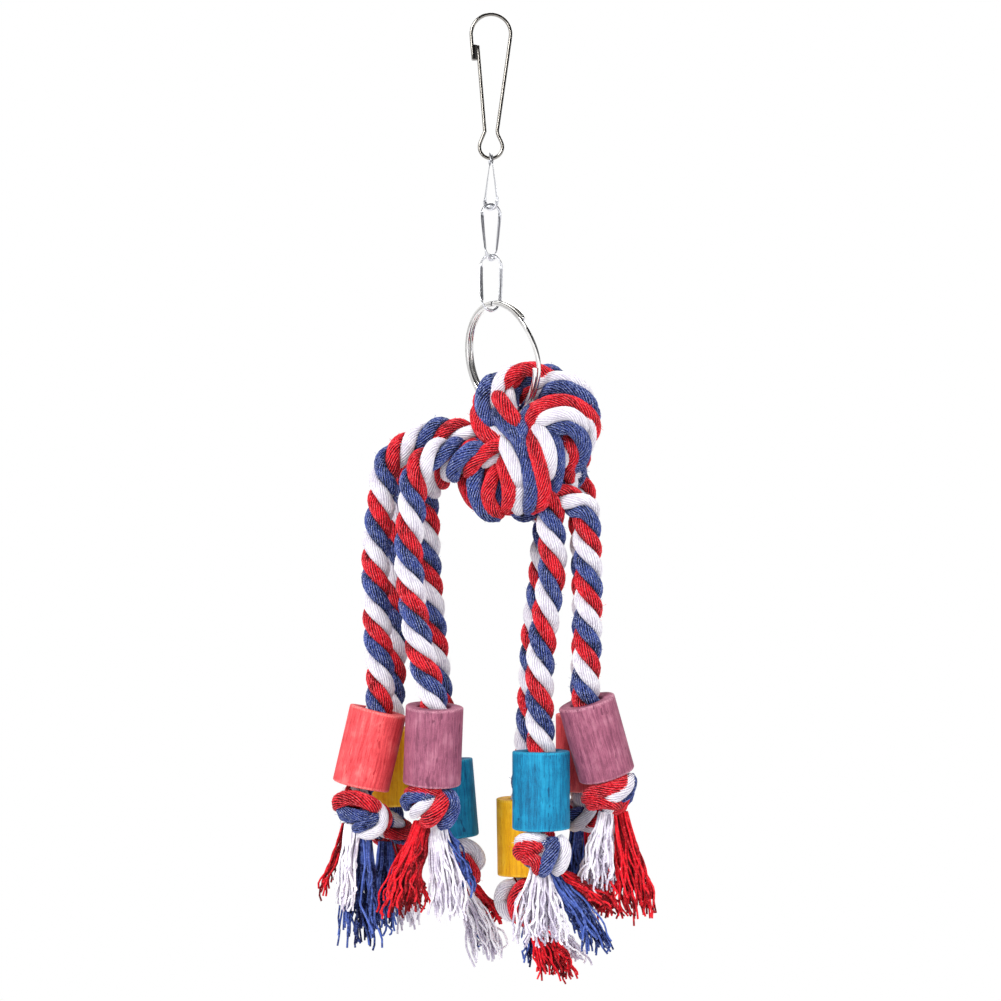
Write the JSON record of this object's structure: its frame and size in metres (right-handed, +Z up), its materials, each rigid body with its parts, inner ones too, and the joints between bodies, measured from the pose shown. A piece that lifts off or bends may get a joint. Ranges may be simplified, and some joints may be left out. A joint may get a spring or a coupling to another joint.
{
  "type": "hanging rope bird perch",
  "caption": "Hanging cotton rope bird perch: a snap hook, chain and split ring hold a big rope knot whose hanging rope ends carry dyed wooden beads, stopper knots and tassels.",
  "frame": {"origin": "the point under the snap hook's arch that sits on the cage bar", "axes": "+Z up, +X to the right in the front view, +Y away from the viewer"},
  "size_m": [0.106, 0.0472, 0.323],
  "materials": {
    "hook_wire": "bright plated wire",
    "chain_wire": "bright zinc-plated wire",
    "ring_wire": "bright nickel-plated spring steel",
    "cotton_rope": "soft laid cotton in red, white and blue strands",
    "cotton_yarn": "frayed cotton yarn in red, white and blue",
    "dyed_wood_red": "matt red dye over open grain",
    "dyed_wood_purple": "matt purple dye over open grain",
    "dyed_wood_yellow": "matt yellow dye over open grain",
    "dyed_wood_blue": "matt blue dye over open grain"
  },
  "bodies": {
    "hook": {"snap_hook": "hook_wire"},
    "gate": {"hook_gate": "hook_wire"},
    "link_1": {"chain_link_1": "chain_wire"},
    "link_2": {"chain_link_2": "chain_wire"},
    "link_3": {"chain_link_3": "chain_wire"},
    "ring": {"split_ring": "ring_wire"},
    "knot": {"main_knot": "cotton_rope"},
    "leg_left_red": {"rope_leg_left_red": "cotton_rope", "stopper_knot_left_red": "cotton_rope", "tassel_left_red": "cotton_yarn"},
    "bead_left_red": {"bead_left_red": "dyed_wood_red"},
    "leg_left_purple": {"rope_leg_left_purple": "cotton_rope", "stopper_knot_left_purple": "cotton_rope", "tassel_left_purple": "cotton_yarn"},
    "bead_left_purple": {"bead_left_purple": "dyed_wood_purple"},
    "leg_left_yellow": {"rope_leg_left_yellow": "cotton_rope", "stopper_knot_left_yellow": "cotton_rope", "tassel_left_yellow": "cotton_yarn"},
    "bead_left_yellow": {"bead_left_yellow": "dyed_wood_yellow"},
    "leg_left_blue": {"rope_leg_left_blue": "cotton_rope", "stopper_knot_left_blue": "cotton_rope", "tassel_left_blue": "cotton_yarn"},
    "bead_left_blue": {"bead_left_blue": "dyed_wood_blue"},
    "leg_right_blue": {"rope_leg_right_blue": "cotton_rope", "stopper_knot_right_blue": "cotton_rope", "tassel_right_blue": "cotton_yarn"},
    "bead_right_blue": {"bead_right_blue": "dyed_wood_blue"},
    "leg_right_yellow": {"rope_leg_right_yellow": "cotton_rope", "stopper_knot_right_yellow": "cotton_rope", "tassel_right_yellow": "cotton_yarn"},
    "bead_right_yellow": {"bead_right_yellow": "dyed_wood_yellow"},
    "leg_right_purple": {"rope_leg_right_purple": "cotton_rope", "stopper_knot_right_purple": "cotton_rope", "tassel_right_purple": "cotton_yarn"},
    "bead_right_purple": {"bead_right_purple": "dyed_wood_purple"},
    "leg_right_red": {"rope_leg_right_red": "cotton_rope", "stopper_knot_right_red": "cotton_rope", "tassel_right_red": "cotton_yarn"},
    "bead_right_red": {"bead_right_red": "dyed_wood_red"}
  },
  "joints": [
    {"name": "gate_flex", "type": "hinge", "parent": "hook", "child": "gate", "pos_m": [-0.002, 0, -0.038], "axis": [0, 1, 0], "range_deg": [0, 14], "stiffness_Nm_per_rad": 0.01, "springref_deg": -2.86},
    {"name": "link_1_swing", "type": "hinge", "parent": "hook", "child": "link_1", "pos_m": [0, 0, -0.0469], "axis": [1, 0, 0], "range_deg": [-30, 30]},
    {"name": "link_2_swing", "type": "hinge", "parent": "link_1", "child": "link_2", "pos_m": [0, 0, -0.06363], "axis": [-0.7071, 0.7071, 0], "range_deg": [-30, 30]},
    {"name": "link_3_swing", "type": "hinge", "parent": "link_2", "child": "link_3", "pos_m": [0, 0, -0.08032], "axis": [0.4226, 0.9063, 0], "range_deg": [-30, 30]},
    {"name": "ring_swing", "type": "hinge", "parent": "link_3", "child": "ring", "pos_m": [0, 0, -0.09703], "axis": [0.8192, 0.5736, 0], "range_deg": [-30, 30]},
    {"name": "knot_swing", "type": "hinge", "parent": "ring", "child": "knot", "pos_m": [0.00378, 0, -0.11273], "axis": [0.7913, 0.5878, 0.1682], "range_deg": [-30, 30]},
    {"name": "leg_left_red_swing", "type": "hinge", "parent": "knot", "child": "leg_left_red", "pos_m": [-0.03542, -0.0075, -0.15783], "axis": [-1, 0, 0], "range_deg": [0, 40]},
    {"name": "leg_left_purple_swing", "type": "hinge", "parent": "knot", "child": "leg_left_purple", "pos_m": [-0.02552, -0.0155, -0.16173], "axis": [-1, 0, 0], "range_deg": [0, 40]},
    {"name": "leg_left_yellow_swing", "type": "hinge", "parent": "knot", "child": "leg_left_yellow", "pos_m": [-0.03052, 0.013, -0.16173], "axis": [1, 0, 0], "range_deg": [0, 40]},
    {"name": "leg_left_blue_swing", "type": "hinge", "parent": "knot", "child": "leg_left_blue", "pos_m": [-0.02162, 0.008, -0.16723], "axis": [1, 0, 0], "range_deg": [0, 40]},
    {"name": "leg_right_blue_swing", "type": "hinge", "parent": "knot", "child": "leg_right_blue", "pos_m": [0.01958, -0.0105, -0.16833], "axis": [-1, 0, 0], "range_deg": [0, 40]},
    {"name": "leg_right_yellow_swing", "type": "hinge", "parent": "knot", "child": "leg_right_yellow", "pos_m": [0.01788, 0.009, -0.17423], "axis": [1, 0, 0], "range_deg": [0, 40]},
    {"name": "leg_right_purple_swing", "type": "hinge", "parent": "knot", "child": "leg_right_purple", "pos_m": [0.03128, -0.011, -0.17223], "axis": [-1, 0, 0], "range_deg": [0, 40]},
    {"name": "leg_right_red_swing", "type": "hinge", "parent": "knot", "child": "leg_right_red", "pos_m": [0.03018, 0.011, -0.16363], "axis": [1, 0, 0], "range_deg": [0, 40]},
    {"name": "bead_left_red_spin", "type": "hinge", "parent": "leg_left_red", "child": "bead_left_red", "pos_m": [-0.03973, -0.0075, -0.24064], "axis": [0.2284, 0, 0.9736], "continuous": true},
    {"name": "bead_left_purple_spin", "type": "hinge", "parent": "leg_left_purple", "child": "bead_left_purple", "pos_m": [-0.0188, -0.01417, -0.2391], "axis": [0.0382, -0.1045, 0.9938], "continuous": true},
    {"name": "bead_left_yellow_spin", "type": "hinge", "parent": "leg_left_yellow", "child": "bead_left_yellow", "pos_m": [-0.03382, 0.013, -0.24848], "axis": [0, 0, 1], "continuous": true},
    {"name": "bead_left_blue_spin", "type": "hinge", "parent": "leg_left_blue", "child": "bead_left_blue", "pos_m": [-0.01445, 0.008, -0.25863], "axis": [-0.0837, 0, 0.9965], "continuous": true},
    {"name": "bead_right_blue_spin", "type": "hinge", "parent": "leg_right_blue", "child": "bead_right_blue", "pos_m": [0.01638, -0.0105, -0.25408], "axis": [0, 0, 1], "continuous": true},
    {"name": "bead_right_yellow_spin", "type": "hinge", "parent": "leg_right_yellow", "child": "bead_right_yellow", "pos_m": [0.01141, 0.009, -0.27137], "axis": [-0.0175, 0, 0.9998], "continuous": true},
    {"name": "bead_right_purple_spin", "type": "hinge", "parent": "leg_right_purple", "child": "bead_right_purple", "pos_m": [0.03458, -0.00923, -0.23729], "axis": [-0.2663, -0.1392, 0.9538], "continuous": true},
    {"name": "bead_right_red_spin", "type": "hinge", "parent": "leg_right_red", "child": "bead_right_red", "pos_m": [0.03088, 0.011, -0.24358], "axis": [0, 0, 1], "continuous": true}
  ]
}
